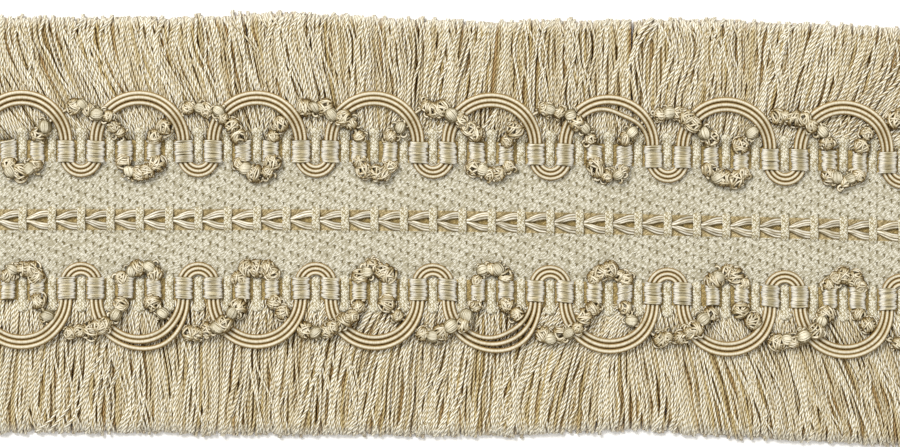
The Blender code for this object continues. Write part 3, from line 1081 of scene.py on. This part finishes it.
@dataclass
class KnotYarn(Border):
    """One border's knotted yarn: a core with lumps along it. Some are beads, where
    its filaments swell out, and the rest are tangles of its thin curled thread."""

    core: float = 0.45
    thin_play: float = 0.1
    lump_play: float = 0.7
    bead_radius: float = 1.35
    bead_half: float = 1.5
    bead_yarns: int = 15
    bead_yarn: float = 0.37
    bead_share: float = 0.6
    tangle: int = 16
    tangle_radius: float = 2.05
    tangle_rise: float = 1.6
    loose_curls: int = 5
    curl_yarn: float = 0.34
    curl_points: int = 8

    def __post_init__(self) -> None:
        """Starts its random numbers, its yarns and the yarns of its beads."""
        self.luck = self.draw("knots")
        self.yarn = YarnBundle(self.named("knotted_yarn"), rounding=1)
        self.beads = YarnBundle(self.named("knot_beads"), rounding=0)

    def build(self) -> None:
        """Builds the yarn's core with its tangles and curls, and its beads."""
        stations = self.stations()
        route = np.array([(s.along, s.out, s.height) for s in stations])
        self.yarn.add(self.spot(*smooth_route(route, 5).T), self.core, 0.5)
        hearts = self.spot(*route.T)
        for before, heart, after, station in zip(hearts, hearts[1:], hearts[2:], stations[1:]):
            if station.lump is Lump.THIN:
                continue
            if station.lump is Lump.BEAD and self.luck.random() < self.bead_share:
                self.add_bead(heart, after - before)
            else:
                self.add_tangle(heart)
            for _ in range(self.loose_curls):
                self.add_curl(heart)
        dress(self.yarn.build(KNOT), "knot", self.named("knot_yarn"))
        dress(self.beads.build(BEAD), "knot")

    def stations(self) -> list[Station]:
        """Lays out the yarn's stations for all repeats, between the cut ends.

        Returns:
            The stations, from left to right.
        """
        draw = self.luck
        made = []
        for k in range(REPEATS + 1):
            for s in YARN_STATIONS:
                play = self.thin_play if s.lump is Lump.THIN else self.lump_play
                along = FIRST_ARCH + k * REPEAT + s.along + draw.uniform(-play, play)
                out = s.out + draw.uniform(-play, play)
                if abs(along) < HALF_LENGTH - 2:
                    made.append(Station(along, out, s.height, s.lump))
        return made

    def add_bead(self, heart: np.ndarray, way: np.ndarray) -> None:
        """Adds a bead: a shell of silky yarns that swell out over the core.

        Args:
            heart: Its middle.
            way: The direction of the yarn there.
        """
        draw = self.luck
        size = draw.uniform(0.95, 1.2)
        lie = atan2(way[1], way[0]) + draw.gauss(0, 0.5)
        long = np.array([cos(lie), sin(lie), 0.0])
        level = np.array([-sin(lie), cos(lie), 0.0])
        up = np.array([0.0, 0.0, 1.0])
        share = np.array([-1, -0.85, -0.5, 0, 0.5, 0.85, 1])
        swell = np.array([0.2, 0.56, 0.88, 1.0, 0.88, 0.56, 0.2]) * self.bead_radius
        skew = draw.uniform(-0.5, 0.5)
        tint = draw.uniform(0.5, 1.0)
        for turn in np.linspace(-0.12, 1.12, self.bead_yarns) * pi:
            wound = turn + draw.uniform(-0.1, 0.1) + skew * share
            away = np.outer(np.cos(wound), level) + np.outer(np.sin(wound), up)
            run = np.outer(share * self.bead_half * draw.uniform(0.9, 1.05), long)
            points = heart + (run + away * swell[:, None] * draw.uniform(0.94, 1.06)) * size * MM
            self.beads.add(points, self.bead_yarn * size, tint)

    def add_tangle(self, heart: np.ndarray) -> None:
        """Adds a tangle: threads wound in bows over a small dome, mostly one way.

        Args:
            heart: Its middle.
        """
        draw = self.luck
        size = draw.uniform(0.75, 1.25)
        wound = draw.uniform(0, pi)
        share = np.linspace(-1, 1, self.curl_points)
        for _ in range(self.tangle):
            lie = wound + draw.gauss(0, 0.8)
            aside = draw.uniform(-0.85, 0.85)
            along = sqrt(1 - aside**2) * share
            across = aside + draw.uniform(-0.5, 0.5) * (1 - share**2)
            dome = np.sqrt(np.clip(1.05 - along**2 - across**2, 0.02, None))
            rise = self.tangle_rise * dome * draw.uniform(0.7, 1.15) - 0.4
            out = self.tangle_radius * np.column_stack([along, across])
            turn = np.array([[cos(lie), sin(lie)], [-sin(lie), cos(lie)]])
            points = np.column_stack([out @ turn, rise])
            self.yarn.add(heart + points * size * MM, self.curl_yarn, draw.uniform(0.3, 1))

    def add_curl(self, heart: np.ndarray) -> None:
        """Adds a loose curl beside a lump.

        Args:
            heart: The lump's middle.
        """
        draw = self.luck
        bearing = draw.uniform(0, 2 * pi)
        out = draw.uniform(1.4, 2.1)
        aside = (out * cos(bearing), out * sin(bearing), draw.uniform(-0.6, 0.2))
        ring = draw.uniform(0.45, 0.85)
        normal = Vector((draw.gauss(0, 0.25), draw.gauss(0, 0.25), 1)).normalized()
        first = normal.orthogonal().normalized()
        second = normal.cross(first)
        turn = draw.uniform(0, 2 * pi)
        turn = turn + np.linspace(0, draw.uniform(0.8, 1.5) * pi, self.curl_points)
        loop = np.outer(np.cos(turn), first) + np.outer(np.sin(turn), second)
        rise = np.outer(np.linspace(-0.2, 0.2, self.curl_points), normal)
        points = heart + (np.array(aside) + ring * loop + rise) * MM
        self.yarn.add(points, self.curl_yarn * draw.uniform(0.85, 1.15), draw.random())


# How each fringe lies at places along its roots: the place, the degrees that its
# strands lean towards the left end, and how far out their tips are.
FRINGE_LIES = {
    Side.UPPER: (
        (-130, 25, 55.6), (-90, 23, 55.8), (-60, 17, 55.9), (-42, 15, 57.2), (-20, 3, 56.0),
        (2, -7, 55.0), (30, 2, 55.8), (68, -2, 57.0), (96, -17, 56.4), (130, -27, 55.2),
    ),
    Side.LOWER: (
        (-130, 3, 58.6), (-100, 2, 58.7), (-84, -9, 58.7), (-70, 4, 59.0), (-52, 3, 59.3),
        (-30, 7, 59.2), (-18, 12, 59.2), (8, 2, 59.2), (28, 18, 58.6), (44, 13, 57.6),
        (49, -3, 56.5), (54, -18, 57.4), (70, -17, 58.0), (96, -20, 58.8), (130, -14, 59.6),
    ),
}


@dataclass(frozen=True)
class FringeLayer:
    """One layer of the fringe.

    Attributes:
        root: Where its strands start, out from the trim's middle line.
        heights: Their heights at the root, where they top the band's edge, and at the
            tip.
        pitch: Millimetres from strand to strand, two thirds of the way out.
        part: How much the leans of its locks vary, in degrees.
        bend: How far its locks bend aside, in millimetres.
        pile_shade_tints: The least and the greatest tint of its strands; a low tint gives a strand
            painted shade.
    """

    root: float
    heights: tuple[float, float, float]
    pitch: float
    part: float
    bend: float
    pile_shade_tints: tuple[float, float]


@dataclass
class Fringe(Border):
    """One edge's brush fringe: layers of strands, each a plain tube whose finish
    shows its twist. Neighbours in a layer lean and bend together, as locks."""

    # The lower layers take lower tint values, which the strands' finish turns into painted shade.
    layers: tuple[FringeLayer, ...] = (
        FringeLayer(25.1, (0.7, 0.9, 0.7), 0.72, 0.5, 0.2, (0.0, 0.1)),
        FringeLayer(24.9, (1.05, 1.35, 1.05), 0.88, 1.8, 0.7, (0.14, 0.5)),
        FringeLayer(22.3, (1.15, 1.6, 1.2), 0.98, 3.2, 1.6, (0.35, 0.95)),
        FringeLayer(23.4, (1.25, 1.9, 1.4), 1.6, 8.5, 2.3, (0.4, 1.0)),
    )
    turn_out: float = 0.75
    radius: float = 0.51
    steps: int = 10
    lock: float = 3.5
    ripple: float = 0.35
    stray: float = 0.45

    def build(self) -> None:
        """Builds all the layers as one piece."""
        rng = np.random.default_rng(7 if self.side is Side.UPPER else 8)
        strands = YarnBundle(self.named("fringe_strands"), rounding=1)
        for layer in self.layers:
            self.add_layer(strands, layer, rng)
        dress(strands.build(STRAND), "fringe", self.named("fringe"))

    def lie_at(self, along: Numbers) -> tuple[np.ndarray, np.ndarray]:
        """The fringe's lean, as a slope, and its reach at places along the trim."""
        at, lean, reach = np.array(FRINGE_LIES[self.side]).T
        return np.tan(np.radians(np.interp(along, at, lean))), np.interp(along, at, reach)

    def add_layer(self, strands: YarnBundle, layer: FringeLayer, rng: np.random.Generator) -> None:
        """Adds one layer's strands, each from its cut tip in to its root.

        Args:
            strands: The yarns that they join.
            layer: The layer.
            rng: The random numbers.
        """
        locks = np.arange(-HALF_LENGTH - self.lock, HALF_LENGTH + 2 * self.lock, self.lock)
        locks += rng.uniform(-0.4, 0.4, len(locks)) * self.lock
        leans = rng.normal(0, layer.part, len(locks))
        bends = rng.normal(0, layer.bend, (2, len(locks)))
        share = np.linspace(1, 0, self.steps + 1)
        # The roots lie so that the strands are even two thirds of the way out.
        grid = np.arange(-HALF_LENGTH + 0.5, HALF_LENGTH - 0.4, 0.1)
        slope, reach = self.lie_at(grid)
        out = np.maximum.accumulate(grid - slope * (reach - layer.root) * 0.67)
        for root in np.interp(np.arange(out[0], out[-1] + 0.01, layer.pitch), out, grid):
            slope, reach = self.lie_at(root)
            slope += tan(radians(np.interp(root, locks, leans)))
            slope += rng.normal(0, min(0.015, layer.bend / 50))
            length = reach - layer.root + rng.normal(0, self.stray)
            loose = rng.normal(0, min(0.15, layer.bend / 6), 2)
            bow, wave = [np.interp(root, locks, row) for row in bends] + loose
            start = rng.uniform(0, 2 * pi)
            ripple = rng.normal(0, min(self.ripple, layer.bend / 3))
            lean = slope * length * share * (1 + self.turn_out * (1 - share))
            x = root + rng.uniform(-0.15, 0.15) - lean
            x += bow * np.sin(pi * share)
            x += wave * share * np.sin(2 * pi * share)
            x += ripple * share * np.sin(6 * pi * share + start)
            height = np.interp(share, (0, 0.12, 1), layer.heights)
            height += rng.uniform(-0.15, 0.35) * np.sin(pi * share / 1.3)
            points = self.spot(x, layer.root + length * share, height)
            radius = self.radius * rng.uniform(0.88, 1.08)
            strands.add(points, radius, rng.uniform(*layer.pile_shade_tints))


@dataclass
class Studio:
    """The pale floor, the soft lights, and the camera straight above the trim. The
    picture's width takes in view_width millimetres round the place view_middle."""

    trim: Trim
    view_width: float = 250.0
    view_middle: tuple[float, float] = (-2.0, -1.06)
    lens: float = 100.0
    sky: float = 0.56

    def build(self) -> None:
        """Builds the floor, the camera and the lights."""
        self.build_floor()
        self.build_camera()
        self.build_lights()

    def build_floor(self) -> None:
        """Lays a plain pale floor under the trim."""
        bpy.ops.object.select_all(action="DESELECT")
        bpy.ops.mesh.primitive_plane_add(size=6)
        floor = bpy.context.object
        floor.name = "studio_floor"
        paper = bpy.data.materials.new("white_paper")
        paper.use_nodes = True
        shader = paper.node_tree.nodes["Principled BSDF"]
        shader.inputs["Base Color"].default_value = linear("#F7F6F4")
        shader.inputs["Roughness"].default_value = 0.9
        floor.data.materials.append(paper)

    def build_camera(self) -> None:
        """Looks straight down on the stretch that the picture shows."""
        data = bpy.data.cameras.new("camera")
        data.lens = self.lens
        data.clip_start = 0.01
        camera = bpy.data.objects.new("camera", data)
        bpy.context.scene.collection.objects.link(camera)
        along, across = self.view_middle
        away = self.view_width * self.lens / data.sensor_width
        middle = (self.trim.middle_x + along, self.trim.start_y + across, away)
        camera.location = Vector(middle) * MM
        bpy.context.scene.camera = camera

    def build_lights(self) -> None:
        """Hangs a soft key light at the upper left and a fill at the lower right."""
        for name, place, size, power in (
            ("key", (-1.3, 1.75, 2.35), 1.5, 114.0),
            ("fill", (2.2, -1.3, 2.2), 3.0, 38.0),
        ):
            data = bpy.data.lights.new(name, "AREA")
            data.size = size
            data.energy = power
            light = bpy.data.objects.new(name, data)
            light.location = place
            light.rotation_euler = Vector(place).to_track_quat("Z", "Y").to_euler()
            bpy.context.scene.collection.objects.link(light)
        world = bpy.data.worlds.new("pale_sky")
        world.use_nodes = True
        shader = world.node_tree.nodes["Background"]
        shader.inputs["Color"].default_value = linear("#FFFDF9")
        shader.inputs["Strength"].default_value = self.sky
        bpy.context.scene.world = world
        bpy.context.scene.view_settings.view_transform = "Standard"


def main() -> None:
    """Builds the trim's pieces in order round the frame."""
    logging.basicConfig(level=logging.INFO, format="%(name)s: %(message)s")
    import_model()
    trim = Trim.from_frame()
    Studio(trim).build()
    band = GroundBand(trim).build()
    for side in Side:
        Chevrons(trim, side).build()
    WovenStrips(trim, "centre_bars", CENTRE_BAR).build("ground")
    for side in Side:
        for row in (Binding, GimpCords, KnotYarn, Fringe):
            row(trim, side).build()


if __name__ == "__main__":
    main()
